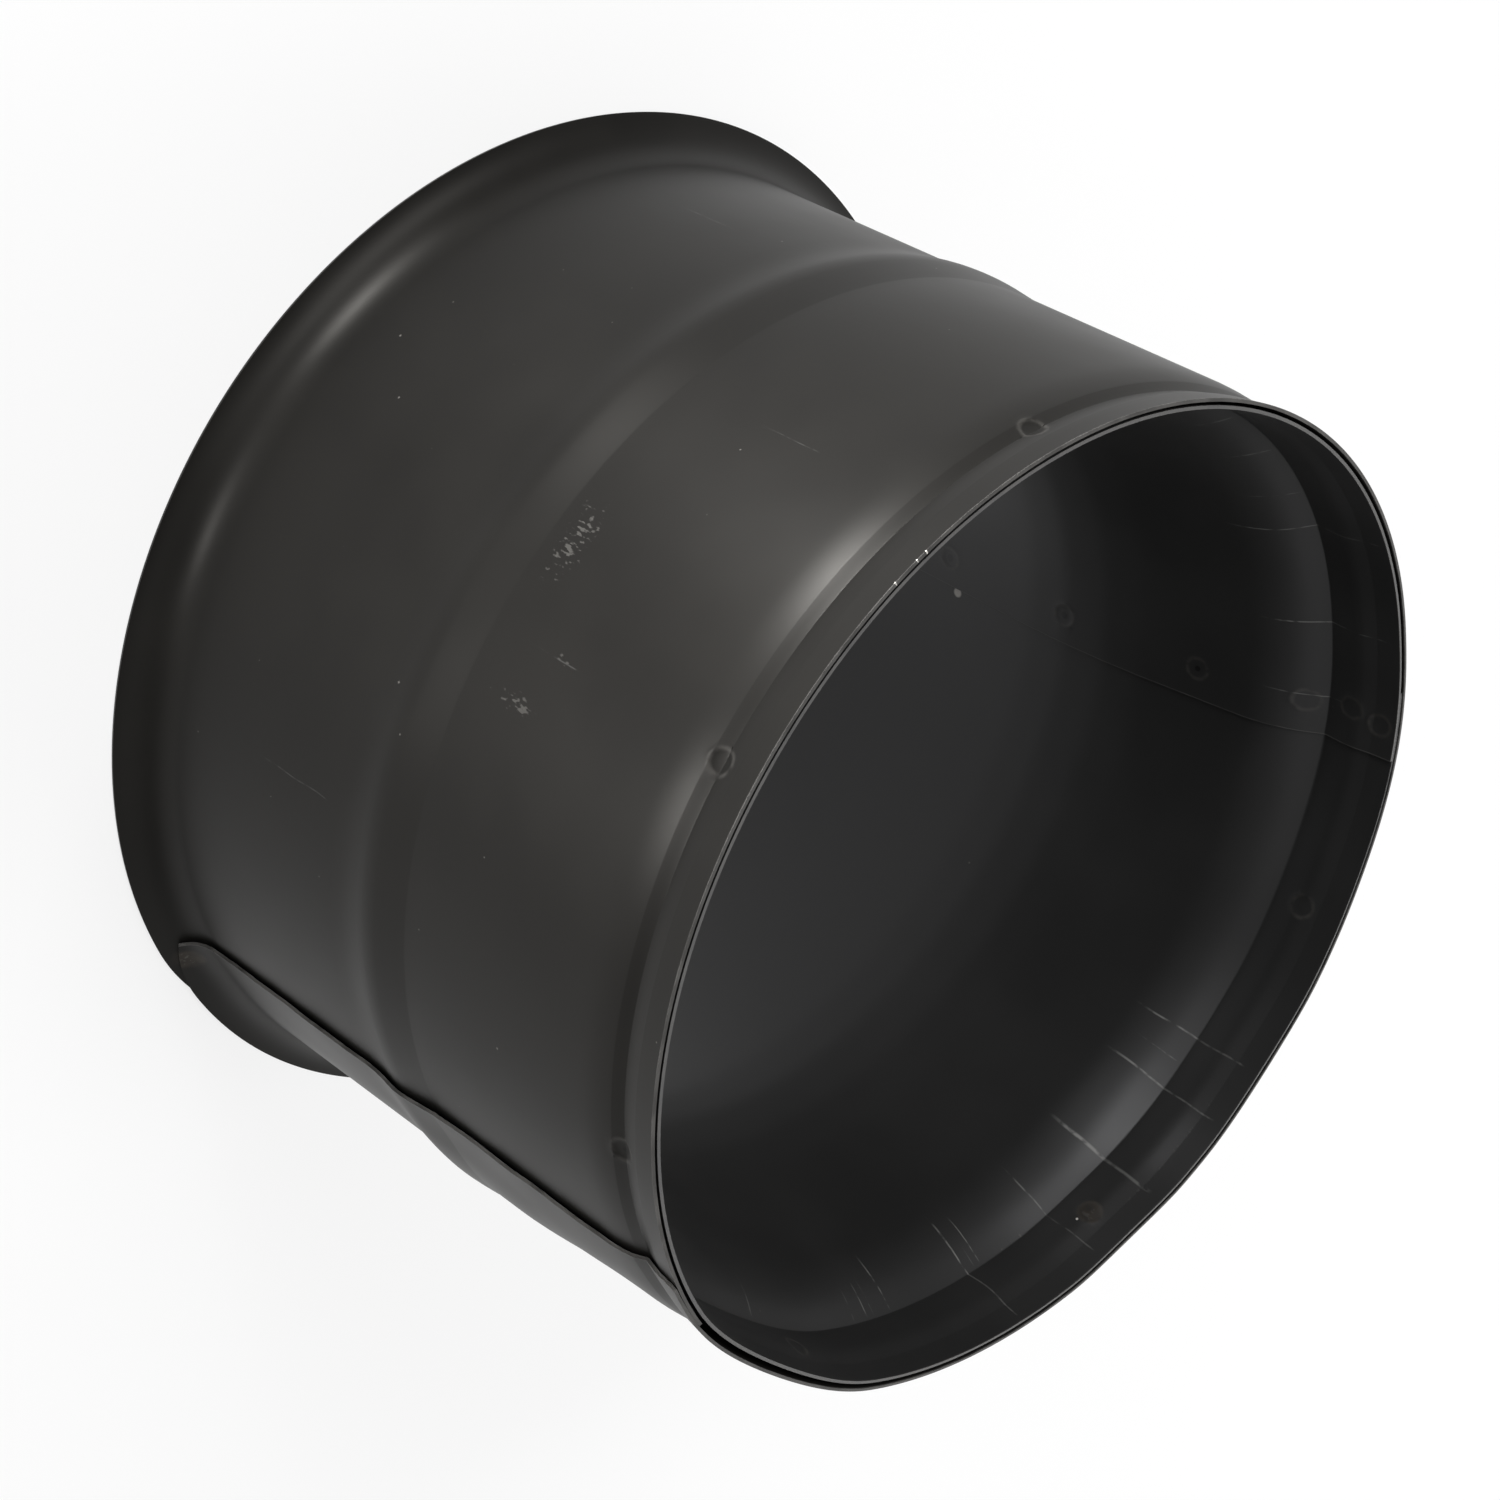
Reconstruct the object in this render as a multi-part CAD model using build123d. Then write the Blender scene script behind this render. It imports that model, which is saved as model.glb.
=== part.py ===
from build123d import *

import math
import os

# Double-wall wall sleeve for a 150 mm stove pipe, in millimetres.
# It stands on its flange: Z is the pipe's axis, z = 0 is the flange's edge, the mouth is at the top.
# Angles run around Z from +X, and a drop is a depth below the mouth's rim.

# Both sheets
sheet = 0.6
length = 135.0
lap_width = 12.0
lap_gap = 0.04
lap_clearance = 0.02
lap_run_deg = 60.0
lap_sections = 8
tightest_bend = 0.3

# Outer shell, with bends on its outer face. Steps are radii set against the body's.
body_radius = 92.7
rim_step = 0.3
knee_step = -0.4
knee_drop = 4.7
groove_step = -1.65
groove_drop = 8.4
groove_bend = 0.5
crease_step = -0.85
crease_run = 2.6
shoulder_run = 6.0
shoulder_bend = 60.0
bead_height = 1.05
bead_drop = 70.4
bead_rise = 9.5
bead_fall = 6.8
bead_top_bend = 4.0
bead_crest_bend = 14.0
bead_foot_bend = 30.0
flange_width = 7.3
flange_slope_deg = 72.0
flange_lip = 0.4
shell_lap_deg = -27.5
shell_lap_lift = 0.6
shell_lap_trim_deg = 7.0

# Inner sleeve, with bends on its bore side
bore_radius = 75.75
sleeve_recess = 4.0
ledge_step = -3.3
ledge_drop = 14.3
ledge_bend = 0.5
funnel_share = 0.56
funnel_run = 7.7
funnel_bend = 24.0
throat_drop = 64.0
throat_bend = 150.0
sleeve_lap_deg = 127.4

# Spot welds, between the two sheets in the groove and along each sheet's own lap
weld_radius = 1.5
groove_weld_degs = [-134.0, -86.4, -43.4, 6.4, 59.0, 106.0, 152.0, -172.0]
shell_lap_weld_drop = 24.0
sleeve_lap_weld_drop = 38.6
lap_weld_pitch = 30.4
lap_weld_margin = 6.0


def heading(start, end):
    run = math.hypot(end[0] - start[0], end[1] - start[1])
    return (end[0] - start[0]) / run, (end[1] - start[1]) / run


def shifted(corners, gap, top=None, foot=None):
    # A bent line moved away from the axis by gap, square to itself, with its bends following.
    # A corner with no bend stays sharp.
    # An end is cut level at the height top or foot where that is given.
    ways = [heading(a, b) for a, b in zip(corners, corners[1:])]
    sides = [(-way_z, way_r) for way_r, way_z in ways]
    result = []
    for i, (r, z, bend) in enumerate(corners):
        before = sides[max(i - 1, 0)]
        after = sides[min(i, len(sides) - 1)]
        share = gap / (1 + before[0] * after[0] + before[1] * after[1])
        turn = before[0] * after[1] - before[1] * after[0]
        followed = max(bend - math.copysign(1, turn) * gap, tightest_bend) if bend else 0
        result.append((r + share * (before[0] + after[0]), z + share * (before[1] + after[1]), followed))
    for i, way, level in ((0, ways[0], top), (-1, ways[-1], foot)):
        if level is not None:
            r, z, bend = result[i]
            result[i] = (r + way[0] * (level - z) / way[1], level, bend)
    return result


def bent_line(corners):
    # Straight runs joined by tangent bends, or by sharp corners, as edges in the XZ plane.
    edges = []
    last = Vector(corners[0][0], 0, corners[0][1])
    for before, (r, z, bend), after in zip(corners, corners[1:], corners[2:]):
        if not bend:
            corner = Vector(r, 0, z)
            edges.append(Line(last, corner))
            last = corner
            continue
        into = heading(before, (r, z))
        out = heading((r, z), after)
        half = math.acos(into[0] * out[0] + into[1] * out[1]) / 2
        setback = bend * math.tan(half)
        rise = bend / math.cos(half) - bend
        inward = heading(into, out)
        start = Vector(r - into[0] * setback, 0, z - into[1] * setback)
        middle = Vector(r + inward[0] * rise, 0, z + inward[1] * rise)
        end = Vector(r + out[0] * setback, 0, z + out[1] * setback)
        edges += [Line(last, start), ThreePointArc(start, middle, end)]
        last = end
    edges.append(Line(last, Vector(corners[-1][0], 0, corners[-1][1])))
    return edges


def sheet_section(near, far):
    # The cut face of a sheet between its two bent lines.
    ends = [Line((near[i][0], 0, near[i][1]), (far[i][0], 0, far[i][1])) for i in (0, -1)]
    return make_face(bent_line(near) + bent_line(far) + ends)


def shell_line(slope_deg):
    # The shell's outer face, from the rim down to the flange's edge. A smaller slope ends the flare sooner.
    full = math.radians(flange_slope_deg)
    slope = math.radians(slope_deg)
    full_run = flange_width / math.sin(full)
    flange_bend = (full_run - flange_lip) / math.tan(full / 2)
    flare_top = full_run * math.cos(full) + sheet * math.sin(full) + full_run - flange_lip
    corner = flare_top - flange_bend * math.tan(slope / 2)
    run = flange_lip + flange_bend * math.tan(slope / 2)
    groove = length - groove_drop
    bead = length - bead_drop
    return [
        (body_radius + rim_step, length, 0),
        (body_radius + knee_step, length - knee_drop, 0),
        (body_radius + groove_step, groove, groove_bend),
        (body_radius + crease_step, groove - crease_run, 0),
        (body_radius, groove - crease_run - shoulder_run, shoulder_bend),
        (body_radius, bead + bead_rise, bead_top_bend),
        (body_radius + bead_height, bead, bead_crest_bend),
        (body_radius, bead - bead_fall, bead_foot_bend),
        (body_radius, corner, flange_bend),
        (body_radius + run * math.sin(slope), corner - run * math.cos(slope), 0),
    ]


def sleeve_line():
    # The sleeve's bore side: it lies along the shell down to the groove, then funnels in to the bore.
    mouth = shifted(shell_line(flange_slope_deg), -2 * sheet - mouth_gap, top=length)[:3]
    ledge_radius = body_radius + ledge_step
    ledge = length - ledge_drop
    return mouth + [
        (ledge_radius, ledge, ledge_bend),
        (bore_radius + funnel_share * (ledge_radius - bore_radius), ledge - funnel_run, funnel_bend),
        (bore_radius, length - throat_drop, throat_bend),
        (bore_radius, sleeve_recess, 0),
    ]


def shell_section(raised, slope_deg):
    line = shell_line(slope_deg)
    return sheet_section(shifted(line, raised - sheet, top=length), shifted(line, raised, top=length))


def sleeve_section(raised):
    line = sleeve_line()
    near = shifted(line, raised, top=length, foot=sleeve_recess)
    far = shifted(line, raised + sheet, top=length, foot=sleeve_recess)
    return sheet_section(near, far)


def lap_raise(turn_deg, lap_deg, lift):
    # How far a sheet's outer layer stands off, by the angle from its free edge.
    # It clears the layer below along the lap, springs up by lift at the edge, and eases back down.
    if turn_deg <= lap_deg:
        return lap_stack + lift * (1 - turn_deg / lap_deg) ** 2
    if turn_deg >= lap_run_deg:
        return 0
    return lap_stack * (1 + math.cos(math.pi * (turn_deg - lap_deg) / (lap_run_deg - lap_deg))) / 2


def lap_turns(lap_deg):
    eased = [lap_deg + (lap_run_deg - lap_deg) * i / lap_sections for i in range(lap_sections + 1)]
    return [0, lap_deg / 2] + eased


def lap_weld_heights(first_drop, foot):
    # Evenly spaced from the first weld down, as many as the sheet has room for above its foot.
    room = length - first_drop - foot - lap_weld_margin
    return [length - first_drop - i * lap_weld_pitch for i in range(int(room / lap_weld_pitch) + 1)]


def weld(angle_deg, z, start, end):
    spot = Plane(origin=(start, 0, z), x_dir=(0, 1, 0), z_dir=(1, 0, 0))
    return Solid.make_cylinder(weld_radius, end - start, spot).rotate(Axis.Z, angle_deg)


def lap_welds(near, far, start_deg, lap_deg, heights):
    # Plugs along the middle of a lap, from the middle of one layer to the middle of the other.
    between = revolve(sheet_section(near, far).rotate(Axis.Z, start_deg), Axis.Z, lap_deg)
    reach = body_radius + flange_width
    return [weld(start_deg + lap_deg / 2, z, bore_radius, reach) & between for z in heights]


# A lap's layers lie a small gap apart, and the sleeve's lap clears the shell all the way to the mouth
lap_stack = sheet + lap_gap
mouth_gap = lap_stack + lap_clearance

# Outer shell: rolled once round, with its outer layer's free edge at shell_lap_deg
shell_lap = math.degrees(lap_width / body_radius)
shell_layers = []
for turn in lap_turns(shell_lap):
    slope = flange_slope_deg - shell_lap_trim_deg * (1 - turn / lap_run_deg) ** 3
    raised = lap_raise(turn, shell_lap, shell_lap_lift)
    shell_layers.append(shell_section(raised, slope).rotate(Axis.Z, shell_lap_deg + turn))
shell_round = shell_section(0, flange_slope_deg).rotate(Axis.Z, shell_lap_deg + lap_run_deg)
outer_shell = loft(shell_layers) + revolve(shell_round, Axis.Z, 360 + shell_lap - lap_run_deg)
lower_layer = shifted(shell_line(flange_slope_deg), -sheet / 2, top=length)
upper_layer = shifted(lower_layer, lap_raise(shell_lap / 2, shell_lap, shell_lap_lift), top=length)
shell_weld_heights = lap_weld_heights(shell_lap_weld_drop, flange_width)
outer_shell += lap_welds(lower_layer, upper_layer, shell_lap_deg, shell_lap, shell_weld_heights)

# Inner sleeve: rolled once round, with its inner layer's free edge at sleeve_lap_deg
sleeve_lap = math.degrees(lap_width / bore_radius)
sleeve_end_deg = sleeve_lap_deg + 360 + sleeve_lap
sleeve_layers = [
    sleeve_section(lap_raise(turn, sleeve_lap, 0)).rotate(Axis.Z, sleeve_end_deg - turn)
    for turn in lap_turns(sleeve_lap)
]
sleeve_round = sleeve_section(0).rotate(Axis.Z, sleeve_lap_deg)
inner_sleeve = loft(sleeve_layers) + revolve(sleeve_round, Axis.Z, 360 + sleeve_lap - lap_run_deg)
inner_layer = shifted(sleeve_line(), sheet / 2, top=length, foot=sleeve_recess)
outer_layer = shifted(inner_layer, lap_stack, top=length, foot=sleeve_recess)
sleeve_weld_heights = lap_weld_heights(sleeve_lap_weld_drop, sleeve_recess)
inner_sleeve += lap_welds(inner_layer, outer_layer, sleeve_lap_deg, sleeve_lap, sleeve_weld_heights)

# Groove welds: each bridges the gap between the two sheets and ends on the shell's inner face
shell_middle = body_radius + groove_step - sheet / 2
sleeve_middle = shell_middle - sheet - mouth_gap
for angle in groove_weld_degs:
    turn = (angle - shell_lap_deg) % 360
    stand_off = lap_raise(turn, shell_lap, 0) if turn > shell_lap else 0
    bridge = weld(angle, length - groove_drop, sleeve_middle, shell_middle + stand_off)
    inner_sleeve += bridge - outer_shell

os.makedirs("parts", exist_ok=True)
export_step(outer_shell, "parts/outer_shell.step")
export_step(inner_sleeve, "parts/inner_sleeve.step")
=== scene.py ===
import functools
import math

import bmesh
import bpy
from mathutils import Matrix, Vector, noise


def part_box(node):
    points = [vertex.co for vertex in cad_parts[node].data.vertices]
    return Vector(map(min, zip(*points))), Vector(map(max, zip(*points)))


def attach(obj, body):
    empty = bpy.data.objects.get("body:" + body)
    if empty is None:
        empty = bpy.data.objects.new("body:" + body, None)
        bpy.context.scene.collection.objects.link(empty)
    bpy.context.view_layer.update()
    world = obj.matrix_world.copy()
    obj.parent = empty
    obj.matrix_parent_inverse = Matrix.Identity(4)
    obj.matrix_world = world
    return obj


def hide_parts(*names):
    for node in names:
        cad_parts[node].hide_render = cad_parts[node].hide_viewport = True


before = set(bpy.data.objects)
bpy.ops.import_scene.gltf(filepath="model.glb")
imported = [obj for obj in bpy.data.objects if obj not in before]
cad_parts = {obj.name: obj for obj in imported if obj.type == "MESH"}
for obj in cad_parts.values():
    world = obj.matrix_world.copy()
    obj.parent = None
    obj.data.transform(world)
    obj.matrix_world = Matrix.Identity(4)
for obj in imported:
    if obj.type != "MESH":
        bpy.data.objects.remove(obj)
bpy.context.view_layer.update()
mm = 0.001
shellLow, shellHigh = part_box("outer_shell")
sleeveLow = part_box("inner_sleeve")[0]
length = shellHigh.z / mm            # the mouth's rim, above the flange's edge
print("frame: sleeve", round(length, 1), "mm long")

# Angles are in degrees round the pipe's axis, drops in mm below the mouth's rim.
# A corner is (step out from the body's radius, drop, bend). A weld is (angle, drop).
bodyRadius = 92.7                    # the shell's outer face, between the bead and the flange
outerShell = {
    "sheet": 0.6,
    "radius": bodyRadius,
    "corners": [
        (0.3, 0.09, 0.0), (-0.4, 4.7, 1.6), (-1.42, 8.3, 0.3), (-0.62, 10.6, 0.4), (0.0, 13.7, 26.0),
        (0.0, 61.6, 4.0), (1.05, 70.4, 14.0), (0.0, 77.2, 30.0),
    ],
    "flangeStep": min(shellHigh.y, -shellLow.y) / mm - bodyRadius,
    "flangeSlope": 72.0,
    "flangeLip": 0.4,
    "lapAt": -27.5,                  # the outer layer's free edge
    "lapWidth": 12.0,
    "lapLift": 0.6,                  # how far the edge has sprung open
    "liftWaves": (0.09, 4.1),        # its waves per mm of drop, and their row in the noise
    "liftDrift": 0.5,                # how much of the lift they change
    "mouthLift": 0.15,               # how far it has sprung at the mouth, where it is held
    "mouthReach": 14.0,
    "mouthFoot": 22.0,               # above this drop the lap stands straight out
    "lapTrim": 1.3,                  # the outer layer's flange ends this much short
    "cornerTrim": 2.0,               # and this much more at its corner
    "cornerRun": 9.0,
    "burr": 0.16,                    # the free edge's unevenness
    "burrWaves": (0.35, 9.3),
    "weldDepth": 0.2,
    "welds": [(-134.0, 8.6), (-86.4, 8.6), (-43.4, 8.6), (6.4, 8.4), (59.0, 8.4), (106.0, 8.4),
              (152.0, 8.4), (-172.0, 8.4)],
}

# Corners of the bore side, as (radius, drop, bend). Its mouth lies along the shell's.
boreRadius = 75.75
innerSleeve = {
    "sheet": 0.6,
    "bore": boreRadius,
    "mouthInset": 1.86,              # two sheets and the gap between them
    "corners": [
        (89.4, 14.3, 0.5), (83.394, 22.0, 24.0), (boreRadius, 64.0, 150.0), (boreRadius, 131.0, 0.0),
    ],
    "mouthBends": [0.0, 1.2, 10.0],
    "lapAt": 127.4,                  # the inner layer's free edge
    "lapWidth": 12.0,
    "weldDepth": 0.07,
    "welds": [(131.9, 17.7), (131.9, 38.6), (131.9, 69.0), (131.9, 99.5),
              (6.4, 8.2), (59.0, 8.2), (106.0, 8.2), (131.5, 3.4), (132.5, 9.3)],
}

rolling = {
    "steps": 380,                    # round one sheet
    "spacing": 2.1,                  # between rings on a straight run, mm
    "lapRun": 60.0,                  # over which a lapped layer eases back, degrees
    "lapStack": 0.64,                # a sheet and the gap to the layer below
    "firstEdge": 0.01,               # a turn below this is the free edge itself, degrees
    "bendStep": 5.0,                 # degrees of a bend to one face
    "sharpAngle": 35.0,              # faces that meet at more than this are shaded sharp
    "cutAngle": 60.0,                # and at more than this are a cut edge, which is rounded
    "edgeRounding": 0.13,
    "edgeSegments": 2,
}

spotWeld = {
    "radius": 2.2,
    "lip": 0.05,                     # how high the lip round it stands
    "lipAt": 1.1,                    # where, in radii from the middle
    "lipWidth": 0.3,
    "end": 1.45,                     # nothing moves beyond this many radii
    "reach": 3.3,                    # of the finer faces, mm
    "cuts": 3,
}

# Where the part is out of round: angle, spread, depth in mm, first and last drop, reach beyond them.
# A depth below zero stands out.
knocks = [
    (36.0, 62.0, 1.15, 0.0, 10.0, 34.0),
    (-3.0, 19.0, 1.45, 0.0, 12.0, 36.0),
    (60.0, 10.0, 0.75, 0.0, 7.0, 14.0),
    (87.0, 12.0, 0.65, 0.0, 7.0, 16.0),
    (128.0, 18.0, -0.65, 0.0, 8.0, 24.0),
    (-11.0, 14.0, -0.7, 54.0, 62.0, 14.0),
]


def heading(a, b):
    return Vector((b[0] - a[0], b[1] - a[1])).normalized()


def bentWire(bm, corners):
    # a wire of straight runs, its corners bevelled to their bends and its runs cut to even lengths
    verts = [bm.verts.new((r * mm, 0, z * mm)) for r, z, bend in corners]
    for a, b in zip(verts, verts[1:]):
        bm.edges.new((a, b))
    for before, corner, after, vert in zip(corners, corners[1:], corners[2:], verts[1:]):
        bend = corner[2]
        if not bend:
            continue
        turn = heading(before, corner).angle(heading(corner, after))
        bmesh.ops.bevel(bm, geom=[vert], offset=bend * math.tan(turn / 2) * mm, offset_type="OFFSET",
                        segments=max(2, math.ceil(math.degrees(turn) / rolling["bendStep"])),
                        profile=0.5, affect="VERTICES", material=-1)
    for edge in bm.edges[:]:
        cuts = int(edge.calc_length() / (rolling["spacing"] * mm))
        if cuts:
            bmesh.ops.subdivide_edges(bm, edges=[edge], cuts=cuts)


def angleOf(vert):
    return math.degrees(math.atan2(vert.co.y, vert.co.x))


def rollUp(bm, startDeg, sweepDeg):
    # spins the wire in two goes, so that each vertex's turn from the start is known where layers lap
    turnLayer = bm.verts.layers.float.new("turn")
    start = Matrix.Rotation(math.radians(startDeg), 3, "Z")
    bmesh.ops.rotate(bm, verts=bm.verts, cent=(0, 0, 0), matrix=start)
    slack = 1                        # degrees, so that rounding at the start doesn't make a whole turn
    ring = bm.verts[:] + bm.edges[:]
    for go in range(2):
        before = set(bm.verts)
        spun = bmesh.ops.spin(bm, geom=ring, cent=(0, 0, 0), axis=(0, 0, 1), use_merge=False,
                              angle=math.radians(sweepDeg / 2), steps=rolling["steps"] // 2)
        first = go * sweepDeg / 2
        for vert in bm.verts:
            if vert not in before:
                turned = angleOf(vert) - startDeg - first
                vert[turnLayer] = first + (turned + slack) % 360 - slack
        ring = spun["geom_last"]
    return turnLayer


def lapRaise(turn, lapDeg, lift):
    # how far a sheet stands off by its turn from the free edge: sprung there, and easing back past the lap
    if turn <= lapDeg:
        return rolling["lapStack"] + lift * (1 - turn / lapDeg) ** 2
    if turn >= rolling["lapRun"]:
        return 0.0
    eased = math.pi * (turn - lapDeg) / (rolling["lapRun"] - lapDeg)
    return rolling["lapStack"] * (1 + math.cos(eased)) / 2


def unevenness(drop, waves, row):
    return noise.noise(Vector((drop * waves, row, 0)))


def degreesApart(a, b):
    return (a - b + 180) % 360 - 180


def fallOff(distance, reach):
    share = min(abs(distance) / reach, 1.0)
    return (1 - share * share) ** 2


def knockOutOfRound(bm):
    for vert in bm.verts:
        angle = angleOf(vert)
        drop = length - vert.co.z / mm
        depth = 0.0
        for at, spread, most, first, last, reach in knocks:
            along = fallOff(max(first - drop, drop - last, 0), reach)
            depth += most * along * fallOff(degreesApart(angle, at), spread)
        vert.co.xy *= 1 - depth * mm / vert.co.xy.length


def spotDistance(vert, angle, height):
    across = math.radians(degreesApart(angleOf(vert), angle))
    return math.hypot(across * vert.co.xy.length, vert.co.z - height)


def pressWelds(bm, welds, depth):
    # finer faces under each spot, then a round dimple with a low lip
    reach = spotWeld["reach"] * mm
    lipHeight = math.copysign(spotWeld["lip"], depth)
    for angle, drop in welds:
        height = length * mm - drop * mm
        level = [vert for vert in bm.verts if abs(vert.co.z - height) < reach]
        near = [vert for vert in level if spotDistance(vert, angle, height) < reach]
        edges = dict.fromkeys(edge for vert in near for edge in vert.link_edges)
        bmesh.ops.subdivide_edges(bm, edges=list(edges), cuts=spotWeld["cuts"], use_grid_fill=True)
        for vert in bm.verts:
            if abs(vert.co.z - height) > reach:
                continue
            apart = spotDistance(vert, angle, height) / mm / spotWeld["radius"]
            if apart < spotWeld["end"]:
                lip = lipHeight * fallOff(apart - spotWeld["lipAt"], spotWeld["lipWidth"])
                dip = depth * max(1 - apart ** 3, 0) - lip
                vert.co.xy *= 1 - dip * mm / vert.co.xy.length


def finishSheet(name, bm, sheet, offset, node):
    bm.normal_update()
    mesh = bpy.data.meshes.new(name)
    bm.to_mesh(mesh)
    bm.free()
    mesh.polygons.foreach_set("use_smooth", [True] * len(mesh.polygons))
    mesh.set_sharp_from_angle(angle=math.radians(rolling["sharpAngle"]))
    piece = bpy.data.objects.new(name, mesh)
    bpy.context.scene.collection.objects.link(piece)
    thick = piece.modifiers.new("sheet", "SOLIDIFY")
    thick.thickness = sheet * mm
    thick.offset = offset
    edges = piece.modifiers.new("cutEdges", "BEVEL")
    edges.width = rolling["edgeRounding"] * mm
    edges.segments = rolling["edgeSegments"]
    edges.limit_method = "ANGLE"
    edges.angle_limit = math.radians(rolling["cutAngle"])
    edges.harden_normals = True
    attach(piece, "root")
    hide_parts(node)
    return piece


def shellCorners():
    spec = outerShell
    slope = math.radians(spec["flangeSlope"])
    run = spec["flangeStep"] / math.sin(slope)
    bend = (run - spec["flangeLip"]) / math.tan(slope / 2)
    foot = spec["sheet"] * math.sin(slope)       # the sheet's lower face touches the floor
    corners = [(spec["radius"] + step, length - drop, bend) for step, drop, bend in spec["corners"]]
    flareTop = foot + run * math.cos(slope) + run - spec["flangeLip"]
    corners.append((spec["radius"], flareTop - bend * math.tan(slope / 2), bend))
    corners.append((spec["radius"] + spec["flangeStep"], foot, 0.0))
    return corners, bend, flareTop


def flareAngle(step, bend):
    # how far round the flange's bend a step out from the body lies
    return math.acos(max(1 - step / bend, -1))


def flangeTrim(turn, lapDeg):
    # most at the free edge, and the layer below ends flush with the one above
    if turn > 360:
        return flangeTrim(lapDeg, lapDeg) * ((turn - 360) / lapDeg) ** 2
    trim = outerShell["lapTrim"] * max(1 - turn / rolling["lapRun"], 0) ** 3
    return trim + outerShell["cornerTrim"] * max(1 - turn / outerShell["cornerRun"], 0) ** 2


def facingOut(vert):
    return vert.normal if vert.normal.xy.dot(vert.co.xy) > 0 else -vert.normal


def makeShell():
    spec = outerShell
    corners, flareBend, flareTop = shellCorners()
    bm = bmesh.new()
    bentWire(bm, corners)
    lapDeg = math.degrees(spec["lapWidth"] / spec["radius"])
    turnLayer = rollUp(bm, spec["lapAt"], 360 + lapDeg)
    bmesh.ops.recalc_face_normals(bm, faces=bm.faces)
    bm.normal_update()
    fullFlare = flareAngle(spec["flangeStep"], flareBend)
    for vert in bm.verts:
        turn = vert[turnLayer]
        drop = length - vert.co.z / mm
        step = vert.co.xy.length / mm - spec["radius"]
        if vert.co.z < flareTop * mm and step > 0:
            trimmed = spec["flangeStep"] - flangeTrim(turn, lapDeg)
            flare = flareAngle(step, flareBend) * flareAngle(trimmed, flareBend) / fullFlare
            vert.co.xy *= (spec["radius"] + flareBend * (1 - math.cos(flare))) * mm / vert.co.xy.length
            vert.co.z = (flareTop - flareBend * math.sin(flare)) * mm
        outward = facingOut(vert)
        if drop < spec["mouthFoot"]:             # the groove's bends are tighter than a lap is thick
            outward = Vector((vert.co.x, vert.co.y, 0)).normalized()
        lift = spec["lapLift"] * (1 + spec["liftDrift"] * unevenness(drop, *spec["liftWaves"]))
        lift += (spec["mouthLift"] - lift) * fallOff(drop, spec["mouthReach"])
        vert.co += outward * lapRaise(turn, lapDeg, lift) * mm
        if turn < rolling["firstEdge"]:          # the sheared edge isn't quite straight
            burr = spec["burr"] * unevenness(drop, *spec["burrWaves"])
            vert.co += Vector((-vert.co.y, vert.co.x, 0)).normalized() * burr * mm
        vert.co.z = min(vert.co.z, (length - spec["corners"][0][1]) * mm)
    pressWelds(bm, spec["welds"], spec["weldDepth"])
    knockOutOfRound(bm)
    piece = finishSheet("outerShellSheet", bm, spec["sheet"], -1, "outer_shell")
    print("shell:", len(piece.data.polygons), "faces, lapped over", round(lapDeg, 1), "degrees")
    return piece


def makeSleeve():
    spec = innerSleeve
    mouth = [(outerShell["radius"] + step - spec["mouthInset"], length - drop, bend)
             for (step, drop, _), bend in zip(outerShell["corners"], spec["mouthBends"])]
    corners = mouth + [(radius, length - drop, bend) for radius, drop, bend in spec["corners"]]
    bm = bmesh.new()
    bentWire(bm, corners)
    lapDeg = math.degrees(spec["lapWidth"] / spec["bore"])
    sweep = 360 + lapDeg
    turnLayer = rollUp(bm, spec["lapAt"], sweep)
    bmesh.ops.recalc_face_normals(bm, faces=bm.faces)
    bm.normal_update()
    for vert in bm.verts:
        vert.co += facingOut(vert) * lapRaise(sweep - vert[turnLayer], lapDeg, 0) * mm
        vert.co.z = min(max(vert.co.z, sleeveLow.z), length * mm)
    pressWelds(bm, spec["welds"], -spec["weldDepth"])
    knockOutOfRound(bm)
    piece = finishSheet("innerSleeveSheet", bm, spec["sheet"], 1, "inner_sleeve")
    print("sleeve:", len(piece.data.polygons), "faces")
    return piece


def feed(tree, socket, value):
    if isinstance(value, bpy.types.NodeSocket):
        tree.links.new(value, socket)
    else:
        socket.default_value = value


def calc(tree, operation, *values):
    node = tree.nodes.new("ShaderNodeMath")
    node.operation = operation
    for socket, value in zip(node.inputs, values):
        feed(tree, socket, value)
    return node.outputs[0]


def ease(tree, value, low, high):
    # 0 at low, 1 at high, smooth between
    node = tree.nodes.new("ShaderNodeMapRange")
    node.interpolation_type = "SMOOTHSTEP"
    feed(tree, node.inputs["Value"], value)
    feed(tree, node.inputs["From Min"], low)
    feed(tree, node.inputs["From Max"], high)
    return node.outputs["Result"]


def mixColor(tree, share, under, over):
    node = tree.nodes.new("ShaderNodeMix")
    node.data_type = "RGBA"
    feed(tree, node.inputs[0], share)
    feed(tree, node.inputs[6], under)
    feed(tree, node.inputs[7], over)
    return node.outputs[2]


def cloud(tree, vector, scale, detail, dimensions="3D"):
    node = tree.nodes.new("ShaderNodeTexNoise")
    node.noise_dimensions = dimensions
    feed(tree, node.inputs["Vector"], vector)
    node.inputs["Scale"].default_value = scale
    node.inputs["Detail"].default_value = detail
    return node.outputs[0]


def squares(tree, a, b):
    return calc(tree, "ADD", calc(tree, "MULTIPLY", a, a), calc(tree, "MULTIPLY", b, b))


def objectPlace(tree):
    return tree.nodes.new("ShaderNodeTexCoord").outputs["Object"]


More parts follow.
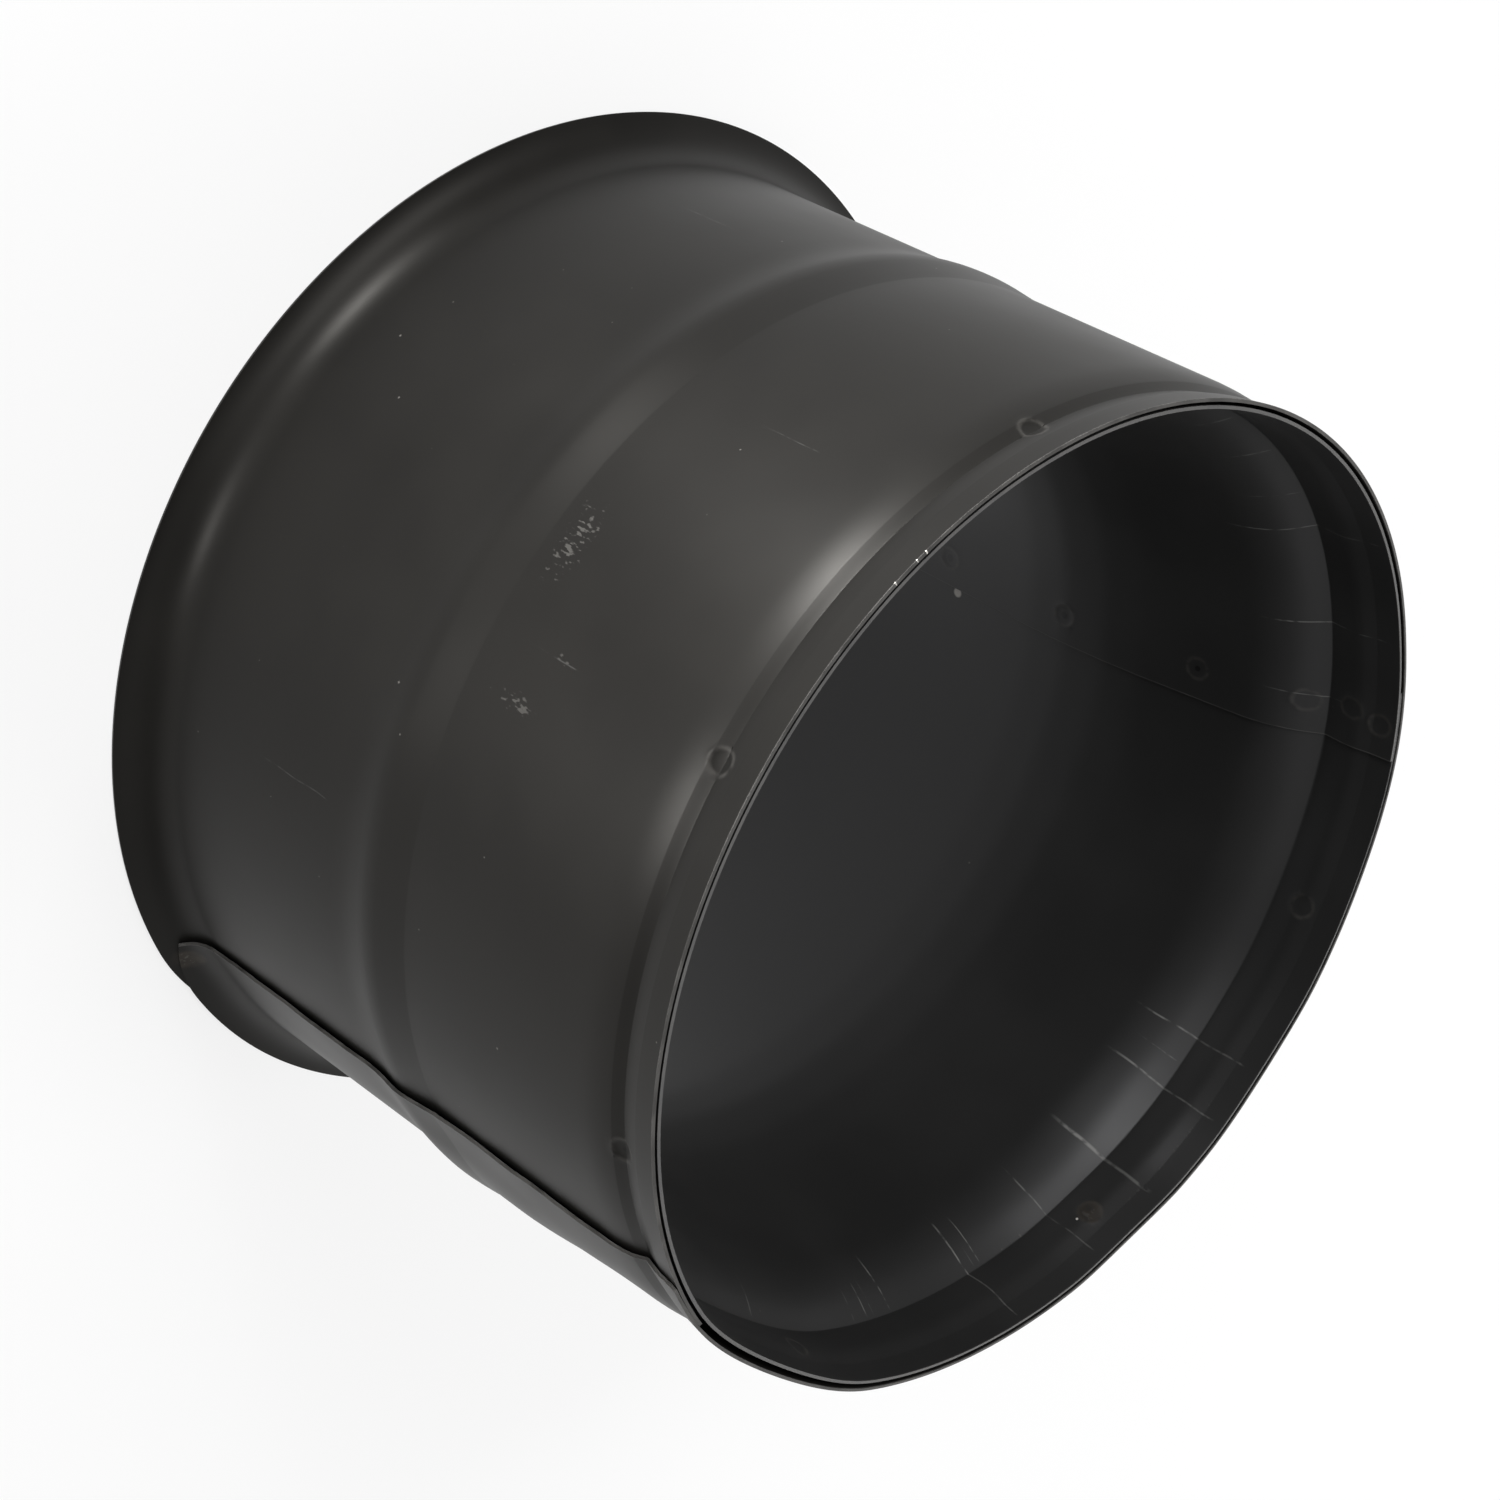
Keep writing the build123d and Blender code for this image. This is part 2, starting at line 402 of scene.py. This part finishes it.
def newGroup(name, inputs, outputs):
    tree = bpy.data.node_groups.new(name, "ShaderNodeTree")
    for label in inputs:
        tree.interface.new_socket(label, in_out="INPUT", socket_type="NodeSocketFloat")
    for label in outputs:
        tree.interface.new_socket(label, in_out="OUTPUT", socket_type="NodeSocketFloat")
    return tree, tree.nodes.new("NodeGroupInput").outputs, tree.nodes.new("NodeGroupOutput").inputs


def useGroup(tree, group, **values):
    node = tree.nodes.new("ShaderNodeGroup")
    node.node_tree = group
    for label, value in values.items():
        feed(tree, node.inputs[label], value)
    return node.outputs


def makeRoundPlaces():
    # where a point is: degrees round the axis, mm below the rim, mm from the axis
    tree, given, result = newGroup("roundPlaces", [], ["angle", "drop", "radius"])
    split = tree.nodes.new("ShaderNodeSeparateXYZ")
    tree.links.new(objectPlace(tree), split.inputs[0])
    x, y, z = split.outputs
    turned = calc(tree, "ARCTAN2", y, x)
    feed(tree, result["angle"], calc(tree, "DEGREES", turned))
    feed(tree, result["drop"], calc(tree, "MULTIPLY_ADD", z, -1 / mm, length))
    feed(tree, result["radius"], calc(tree, "MULTIPLY", calc(tree, "SQRT", squares(tree, x, y)), 1 / mm))
    return tree


def acrossFrom(tree, given, at):
    # mm round the surface from the angle at
    apart = calc(tree, "WRAP", calc(tree, "SUBTRACT", given["angle"], at), 180, -180)
    return calc(tree, "MULTIPLY", calc(tree, "RADIANS", apart), given["radius"])


# A pair of levels is where an effect starts and where it is full.
wearLook = {
    "waves": {"wander": (0.35, 0.11, 0.0), "worn": (0.9, 0.45, 2.0)},    # per degree, per mm, and detail
    "speckle": 1700.0,               # waves per metre
    "speckleDetail": 2.0,
    "stretch": (1.0, 1.0, 0.4),
}


def makeCoatWear():
    # shared unevenness: how lines wander, where the coat has worn off them, and a fine streaky speckle
    tree, given, result = newGroup("coatWear", ["angle", "drop"], ["wander", "worn", "speckle"])
    for label, (turns, drops, detail) in wearLook["waves"].items():
        place = tree.nodes.new("ShaderNodeCombineXYZ")
        feed(tree, place.inputs[0], calc(tree, "MULTIPLY", given["angle"], turns))
        feed(tree, place.inputs[1], calc(tree, "MULTIPLY", given["drop"], drops))
        feed(tree, result[label], cloud(tree, place.outputs[0], 1.0, detail, "2D"))
    streaks = tree.nodes.new("ShaderNodeMapping")
    tree.links.new(objectPlace(tree), streaks.inputs["Vector"])
    streaks.inputs["Scale"].default_value = wearLook["stretch"]
    speckle = cloud(tree, streaks.outputs[0], wearLook["speckle"], wearLook["speckleDetail"])
    feed(tree, result["speckle"], speckle)
    return tree


scratchLook = {
    "wander": 0.7,                   # from side to side, mm
    "full": (0.0, 0.8),              # across the line, from its sides in
    "startFade": 1.5,                # mm
    "endFade": 7,
    "worn": (0.28, 0.62),
    "ledge": (13.6, 15.0),           # drops above which it is fainter
    "rimShare": 0.4,                 # how much of it is left there
}


def makeScratchLine():
    # a thin scratch along the axis that wanders a little, breaks up and fades at its ends
    labels = ["angle", "drop", "radius", "wander", "worn", "at", "top", "foot", "width"]
    tree, given, result = newGroup("scratchLine", labels, ["mask"])
    drop = given["drop"]
    wander = scratchLook["wander"]
    rimShare = scratchLook["rimShare"]
    across = acrossFrom(tree, given, given["at"])
    across = calc(tree, "ADD", across, calc(tree, "MULTIPLY_ADD", given["wander"], wander, -wander / 2))
    line = calc(tree, "SUBTRACT", 1, calc(tree, "DIVIDE", calc(tree, "ABSOLUTE", across), given["width"]))
    line = ease(tree, line, *scratchLook["full"])
    starts = ease(tree, drop, given["top"], calc(tree, "ADD", given["top"], scratchLook["startFade"]))
    ends = ease(tree, drop, given["foot"], calc(tree, "SUBTRACT", given["foot"], scratchLook["endFade"]))
    kept = calc(tree, "MULTIPLY", line, ease(tree, given["worn"], *scratchLook["worn"]))
    belowLedge = ease(tree, drop, *scratchLook["ledge"])
    kept = calc(tree, "MULTIPLY", kept, calc(tree, "MULTIPLY_ADD", belowLedge, 1 - rimShare, rimShare))
    feed(tree, result["mask"], calc(tree, "MULTIPLY", kept, calc(tree, "MULTIPLY", starts, ends)))
    return tree


scuffLook = {
    "outside": 0.74,                 # speckle over this level shows at the patch's outside
    "inside": 0.54,                  # and over this in its middle
    "soft": 0.1,
}


def makeScuffPatch():
    # a rubbed place: fine streaks that thin out from its middle
    labels = ["angle", "drop", "radius", "speckle", "at", "middle", "spread", "reach"]
    tree, given, result = newGroup("scuffPatch", labels, ["mask"])
    across = calc(tree, "DIVIDE", acrossFrom(tree, given, given["at"]), given["spread"])
    along = calc(tree, "DIVIDE", calc(tree, "SUBTRACT", given["drop"], given["middle"]), given["reach"])
    near = ease(tree, squares(tree, across, along), 1.0, 0.0)
    outside = scuffLook["outside"]
    level = calc(tree, "MULTIPLY_ADD", near, scuffLook["inside"] - outside, outside)
    mask = ease(tree, given["speckle"], level, calc(tree, "ADD", level, scuffLook["soft"]))
    feed(tree, result["mask"], calc(tree, "MULTIPLY", mask, near))
    return tree


# distances in radii from the middle, and the levels of wear between which a ring breaks up
spotLook = {
    "ringOutside": (1.3, 1.0),
    "ringInside": (0.7, 0.98),
    "centre": (1.0, 0.6),
    "worn": (0.2, 0.6),
}


def makeSpotMark():
    # the trace of a spot weld: a faint ring and its middle
    labels = ["angle", "drop", "radius", "worn", "at", "middle", "size"]
    tree, given, result = newGroup("spotMark", labels, ["ring", "centre"])
    across = acrossFrom(tree, given, given["at"])
    along = calc(tree, "SUBTRACT", given["drop"], given["middle"])
    apart = calc(tree, "DIVIDE", calc(tree, "SQRT", squares(tree, across, along)), given["size"])
    ring = ease(tree, apart, *spotLook["ringOutside"])
    ring = calc(tree, "MULTIPLY", ring, ease(tree, apart, *spotLook["ringInside"]))
    feed(tree, result["ring"], calc(tree, "MULTIPLY", ring, ease(tree, given["worn"], *spotLook["worn"])))
    feed(tree, result["centre"], ease(tree, apart, *spotLook["centre"]))
    return tree


# waves per metre, their detail, and the levels between which the tone drifts
grainLook = {
    "peel": (620.0, 1.0),
    "drift": (34.0, 2.0),
    "driftLevels": (0.3, 0.7),
}


def makePaintGrain():
    # a satin coat: a faint orange peel and slow drifts of tone
    tree, given, result = newGroup("paintGrain", ["peel"], ["height", "drift"])
    place = objectPlace(tree)
    peel = cloud(tree, place, *grainLook["peel"])
    drift = cloud(tree, place, *grainLook["drift"])
    feed(tree, result["height"], calc(tree, "MULTIPLY", peel, given["peel"]))
    feed(tree, result["drift"], ease(tree, drift, *grainLook["driftLevels"]))
    return tree


dustLook = {
    "cells": 420.0,                  # per metre
    "size": 0.09,                    # in cells
    "smallest": 0.4,                 # times that size, and the largest is 1 more
    "core": 0.4,                     # the share of a speck that is full
    "strength": 0.7,
}


def makeDustSpecks():
    # single light specks, a few in a hundred cells
    tree, given, result = newGroup("dustSpecks", ["share", "size"], ["mask"])
    cells = tree.nodes.new("ShaderNodeTexVoronoi")
    tree.links.new(objectPlace(tree), cells.inputs["Vector"])
    cells.inputs["Scale"].default_value = dustLook["cells"]
    pick = tree.nodes.new("ShaderNodeSeparateColor")
    tree.links.new(cells.outputs["Color"], pick.inputs[0])
    chosen = calc(tree, "LESS_THAN", pick.outputs[0], given["share"])
    varied = calc(tree, "ADD", pick.outputs[1], dustLook["smallest"])
    size = calc(tree, "MULTIPLY", given["size"], varied)
    speck = ease(tree, cells.outputs["Distance"], size, calc(tree, "MULTIPLY", size, dustLook["core"]))
    feed(tree, result["mask"], calc(tree, "MULTIPLY", chosen, speck))
    return tree


edgeLook = {
    "thin": (210.0, 2.0),            # waves per metre and their detail
    "thinLevels": (0.3, 0.62),
    "least": 0.4,                    # what shows where the coat is thickest
    "core": 0.5,                     # the share of the rim's width that is full
    "lap": (0.14, 0.06),             # degrees from the free edge
}


def makeCutEdge():
    # the sheared edges, at the rim and along a lap, where the coat is thin
    tree, given, result = newGroup("cutEdge", ["drop", "turn", "width"], ["mask"])
    thin = cloud(tree, objectPlace(tree), *edgeLook["thin"])
    thin = ease(tree, thin, *edgeLook["thinLevels"])
    width = given["width"]
    rim = ease(tree, given["drop"], width, calc(tree, "MULTIPLY", width, edgeLook["core"]))
    lap = ease(tree, given["turn"], *edgeLook["lap"])
    edge = calc(tree, "MAXIMUM", rim, lap)
    shows = calc(tree, "MULTIPLY_ADD", thin, 1 - edgeLook["least"], edgeLook["least"])
    feed(tree, result["mask"], calc(tree, "MULTIPLY", edge, shows))
    return tree


effects = {
    "places": makeRoundPlaces(),
    "wear": makeCoatWear(),
    "scratch": makeScratchLine(),
    "scuff": makeScuffPatch(),
    "spot": makeSpotMark(),
    "grain": makePaintGrain(),
    "dust": makeDustSpecks(),
    "edge": makeCutEdge(),
}
print("effects:", len(effects), "node groups")

# A scratch is (angle, top drop, foot drop, half width in mm, strength).
# A scuff is (angle, middle drop, half width, half height, strength).
# A chip, a tint and a dot are (angle, drop, radius).
shellPaint = {
    "color": (0.0062, 0.0059, 0.0054),
    "drifted": (0.0080, 0.0076, 0.0069),
    "roughness": 0.41,
    "gloss": 0.15,
    # the reflections tinted warm: painted light colour, not a colour of the paint
    "paintedLightTint": (1.0, 0.97, 0.92, 1),
    "peel": 1.0,
    "rings": 0.5,
    "scratches": [
        (-87.0, 41.0, 52.0, 0.16, 0.12), (-118.0, 30.0, 44.0, 0.14, 0.10),
        (-61.0, 84.0, 104.0, 0.15, 0.10), (-143.0, 92.0, 108.0, 0.15, 0.12),
    ],
    "scuffs": [
        (-98.0, 56.0, 13.0, 5.0, 0.5), (-81.0, 50.0, 3.0, 7.0, 0.45), (-87.0, 45.0, 2.0, 5.0, 0.35),
        (-25.0, 132.0, 2.6, 1.6, 0.6),
    ],
    "spots": outerShell["welds"][:3],            # the welds on the side that the photograph shows
    "chips": [(-112.3, 0.15, 0.17), (-113.6, 0.1, 0.2), (-109.2, 0.15, 0.18)],
    "tints": [(-25.0, 131.5, 3.0)],
    "dots": [(-43.4, 8.6, 0.5)],
    "edgeWidth": 0.3,
    "dust": 0.035,                   # the share of cells with a speck
}

# The same black paint as the shell's, with its colour and drift about three times lighter: painted light
# that lifts the shade inside the bore.
sleevePaintWithPaintedFill = {
    "color": (0.0182, 0.0181, 0.0179),
    "drifted": (0.0218, 0.0216, 0.0213),
    "roughness": 0.41,
    "gloss": 0.36,
    # the reflections tinted a little cool: painted light colour, not a colour of the paint
    "paintedLightTint": (0.98, 0.98, 1.0, 1),
    "peel": 1.0,
    "rings": 0.8,
    "scratches": [
        (2.2, 14.6, 24.0, 0.20, 0.35), (22.0, 14.6, 21.0, 0.18, 0.45), (24.4, 14.6, 23.0, 0.18, 0.45),
        (25.4, 14.6, 22.0, 0.16, 0.28), (28.2, 14.4, 26.0, 0.22, 0.80), (41.6, 1.0, 27.0, 0.24, 0.75),
        (43.0, 14.6, 19.0, 0.15, 0.45), (44.0, 14.6, 26.0, 0.18, 0.60), (55.4, 2.0, 26.0, 0.22, 0.60),
        (66.0, 2.5, 27.0, 0.50, 1.00), (78.0, 2.0, 27.0, 0.28, 0.90), (81.8, 14.6, 24.0, 0.18, 0.55),
        (85.4, 3.0, 27.0, 0.26, 0.75), (132.8, 9.5, 26.0, 0.16, 0.50), (143.6, 2.0, 27.0, 0.20, 0.70),
        (159.4, 1.0, 31.0, 0.20, 0.50), (166.0, 14.6, 25.0, 0.18, 0.35), (175.6, 14.6, 25.0, 0.18, 0.35),
        (185.6, 14.6, 24.0, 0.18, 0.30),
    ],
    "scuffs": [
        (59.0, 8.2, 2.6, 2.2, 0.35), (50.0, 14.6, 10.0, 0.5, 0.5), (72.0, 4.8, 22.0, 0.6, 0.25),
    ],
    "spots": innerSleeve["welds"],
    "chips": [(126.6, 97.2, 1.2), (57.2, 9.0, 0.3)],
    "tints": [(59.0, 8.2, 3.0)],
    "dots": [(131.9, 38.6, 0.7), (131.9, 69.0, 0.9), (131.9, 99.5, 1.0)],
    "edgeWidth": 0.3,
    "dust": 0.015,
}

wornTones = {
    "scratch": (0.22, 0.22, 0.21, 1),
    "scuff": (0.085, 0.082, 0.076, 1),
    "edge": (0.070, 0.068, 0.065, 1),
    "spotRing": (0.042, 0.040, 0.037, 1),
    "dot": (0.004, 0.004, 0.004, 1),
    "tint": (0.037, 0.030, 0.023, 1),
    "chip": (0.60, 0.58, 0.54, 1),
    "dust": (0.13, 0.125, 0.115, 1),
}

coat = {
    "bump": 0.10,
    "bumpHeight": 0.05,              # mm
    "roughDrift": 0.04,              # how much the roughness drifts
    "roughWorn": 0.15,               # and how much rougher a worn place is
}


def strongest(tree, masks):
    return functools.reduce(lambda a, b: calc(tree, "MAXIMUM", a, b), masks)


def roundMarks(tree, where, marks, part):
    spots = [useGroup(tree, effects["spot"], at=at, middle=middle, size=size, **where)
             for at, middle, size in marks]
    return strongest(tree, [spot[part] for spot in spots])


def paint(name, spec):
    material = bpy.data.materials.new(name)
    material.use_nodes = True
    tree = material.node_tree
    tree.nodes.clear()
    places = useGroup(tree, effects["places"])
    where = {"angle": places["angle"], "drop": places["drop"], "radius": places["radius"]}
    rolled = tree.nodes.new("ShaderNodeAttribute")
    rolled.attribute_name = "turn"               # degrees from the sheet's first edge
    grain = useGroup(tree, effects["grain"], peel=spec["peel"])
    wear = useGroup(tree, effects["wear"], angle=places["angle"], drop=places["drop"])
    scratches = []
    for at, top, foot, width, strength in spec["scratches"]:
        line = useGroup(tree, effects["scratch"], at=at, top=top, foot=foot, width=width,
                        wander=wear["wander"], worn=wear["worn"], **where)
        scratches.append(calc(tree, "MULTIPLY", line["mask"], strength))
    scratched = strongest(tree, scratches)
    scuffs = []
    for at, middle, spread, reach, strength in spec["scuffs"]:
        patch = useGroup(tree, effects["scuff"], at=at, middle=middle, spread=spread, reach=reach,
                         speckle=wear["speckle"], **where)
        scuffs.append(calc(tree, "MULTIPLY", patch["mask"], strength))
    scuffed = strongest(tree, scuffs)
    where["worn"] = wear["worn"]
    welds = [(at, middle, spotWeld["radius"]) for at, middle in spec["spots"]]
    ringed = calc(tree, "MULTIPLY", roundMarks(tree, where, welds, "ring"), spec["rings"])
    chipped = roundMarks(tree, where, spec["chips"], "centre")
    tinted = calc(tree, "MULTIPLY", roundMarks(tree, where, spec["tints"], "centre"), wear["worn"])
    dotted = roundMarks(tree, where, spec["dots"], "centre")
    dusty = useGroup(tree, effects["dust"], share=spec["dust"], size=dustLook["size"])["mask"]
    dusty = calc(tree, "MULTIPLY", dusty, dustLook["strength"])
    edged = useGroup(tree, effects["edge"], drop=places["drop"], turn=rolled.outputs["Fac"],
                     width=spec["edgeWidth"])["mask"]
    color = mixColor(tree, grain["drift"], (*spec["color"], 1), (*spec["drifted"], 1))
    layers = [
        (ringed, "spotRing"), (dotted, "dot"), (tinted, "tint"), (scuffed, "scuff"), (dusty, "dust"),
        (scratched, "scratch"), (edged, "edge"), (chipped, "chip"),
    ]
    for share, tone in layers:
        color = mixColor(tree, share, color, wornTones[tone])
    smoothest = spec["roughness"] - coat["roughDrift"] / 2
    rough = calc(tree, "MULTIPLY_ADD", grain["drift"], coat["roughDrift"], smoothest)
    worn = strongest(tree, [scuffed, scratched, edged])
    rough = calc(tree, "MULTIPLY_ADD", worn, coat["roughWorn"], rough)
    bump = tree.nodes.new("ShaderNodeBump")
    bump.inputs["Strength"].default_value = coat["bump"]
    bump.inputs["Distance"].default_value = coat["bumpHeight"] * mm
    feed(tree, bump.inputs["Height"], grain["height"])
    shader = tree.nodes.new("ShaderNodeBsdfPrincipled")
    feed(tree, shader.inputs["Base Color"], color)
    feed(tree, shader.inputs["Roughness"], rough)
    feed(tree, shader.inputs["Normal"], bump.outputs["Normal"])
    shader.inputs["Specular IOR Level"].default_value = spec["gloss"]
    shader.inputs["Specular Tint"].default_value = spec["paintedLightTint"]
    output = tree.nodes.new("ShaderNodeOutputMaterial")
    tree.links.new(shader.outputs["BSDF"], output.inputs["Surface"])
    print("paint:", name, len(tree.nodes), "nodes")
    return material


studio = {
    "floorSize": 8.0,
    "floorColor": (0.9, 0.9, 0.9, 1),
    "white": 0.75,                   # how much of the floor's look is plain white, the rest takes shadow
    "front": 0.1,                    # the room's brightness behind the camera
    "back": 0.75,                    # opposite it
    "overhead": 0.28,
    "wallTurn": (-0.1, 0.7),         # between these shares of a direction the front fades to the back
    "wallTop": (0.2, 0.8),           # and the walls to what is overhead
}


def makeFloor():
    bm = bmesh.new()
    bmesh.ops.create_grid(bm, x_segments=1, y_segments=1, size=studio["floorSize"])
    mesh = bpy.data.meshes.new("floor")
    bm.to_mesh(mesh)
    bm.free()
    floor = bpy.data.objects.new("floor", mesh)
    material = bpy.data.materials.new("paleFloor")
    material.use_nodes = True
    tree = material.node_tree
    tree.nodes.clear()
    lit = tree.nodes.new("ShaderNodeBsdfDiffuse")
    lit.inputs["Color"].default_value = studio["floorColor"]
    plain = tree.nodes.new("ShaderNodeEmission")
    rays = tree.nodes.new("ShaderNodeLightPath").outputs
    seen = strongest(tree, [rays["Is Camera Ray"], rays["Is Glossy Ray"], rays["Is Transmission Ray"]])
    both = tree.nodes.new("ShaderNodeMixShader")
    feed(tree, both.inputs[0], calc(tree, "MULTIPLY", seen, studio["white"]))
    tree.links.new(lit.outputs[0], both.inputs[1])
    tree.links.new(plain.outputs[0], both.inputs[2])
    output = tree.nodes.new("ShaderNodeOutputMaterial")
    tree.links.new(both.outputs[0], output.inputs["Surface"])
    floor.data.materials.append(material)
    bpy.context.scene.collection.objects.link(floor)


# where the camera stands, in mm, and its turned frame, at the photograph's viewing angle
viewpoint = {
    "place": (0.0, -509.0, 450.6),
    "right": (-0.50485, 0.52734, 0.68342),
    "up": (-0.86321, -0.30487, -0.40243),
    "lens": 84.23,
    "sensor": 36.0,
}


def makeCamera():
    camera = bpy.data.cameras.new("camera")
    camera.lens = viewpoint["lens"]
    camera.sensor_width = viewpoint["sensor"]
    holder = bpy.data.objects.new("camera", camera)
    right = Vector(viewpoint["right"]).normalized()
    up = Vector(viewpoint["up"])
    up = (up - right * up.dot(right)).normalized()
    turned = Matrix((right, up, right.cross(up))).transposed()
    holder.matrix_world = Matrix.Translation(Vector(viewpoint["place"]) * mm) @ turned.to_4x4()
    bpy.context.scene.collection.objects.link(holder)
    bpy.context.scene.camera = holder


# place in mm, height that it is aimed at over the axis, width and height in metres, and power
lamps = {
    "lowPanel": ((-217, -368, 38), 1200, 0.06, 0.09, 4.7),
    "lowSidePanel": ((117, -415, 38), 1200, 0.06, 0.09, 1.8),
    "levelPanel": ((-560, -800, 230), 100, 0.12, 0.12, 1.2),
    "tallSoftbox": ((-580, -516, 886), 70, 0.75, 0.35, 6.5),
    "fillPanel": ((640, 60, 930), 70, 1.3, 1.3, 2.4),
    "backSoftbox": ((0, 1200, 1050), 70, 1.2, 0.9, 14.0),
}


def makeLamps():
    for name, (place, aim, width, height, power) in lamps.items():
        light = bpy.data.lights.new(name, "AREA")
        light.shape = "RECTANGLE"
        light.size = width
        light.size_y = height
        light.energy = power
        lamp = bpy.data.objects.new(name, light)
        lamp.location = Vector(place) * mm
        lamp.rotation_euler = (Vector((0, 0, aim * mm)) - lamp.location).to_track_quat("-Z", "Y").to_euler()
        bpy.context.scene.collection.objects.link(lamp)


def makeWorld():
    # a room with a pale back wall, darker overhead and behind the camera
    world = bpy.data.worlds.new("studio")
    bpy.context.scene.world = world
    world.use_nodes = True
    tree = world.node_tree
    split = tree.nodes.new("ShaderNodeSeparateXYZ")
    tree.links.new(tree.nodes.new("ShaderNodeTexCoord").outputs["Generated"], split.inputs[0])
    front, back, overhead = [(studio[side],) * 3 + (1,) for side in ("front", "back", "overhead")]
    walls = mixColor(tree, ease(tree, split.outputs[1], *studio["wallTurn"]), front, back)
    tone = mixColor(tree, ease(tree, split.outputs[2], *studio["wallTop"]), walls, overhead)
    feed(tree, tree.nodes["Background"].inputs["Color"], tone)


makeCamera()
shell = makeShell()
sleeve = makeSleeve()
shell.data.materials.append(paint("shellPaint", shellPaint))
sleeve.data.materials.append(paint("sleevePaintWithPaintedFill", sleevePaintWithPaintedFill))
makeFloor()
makeLamps()
makeWorld()
bpy.context.scene.view_settings.view_transform = "Standard"
print("studio: floor, lamps and camera set")
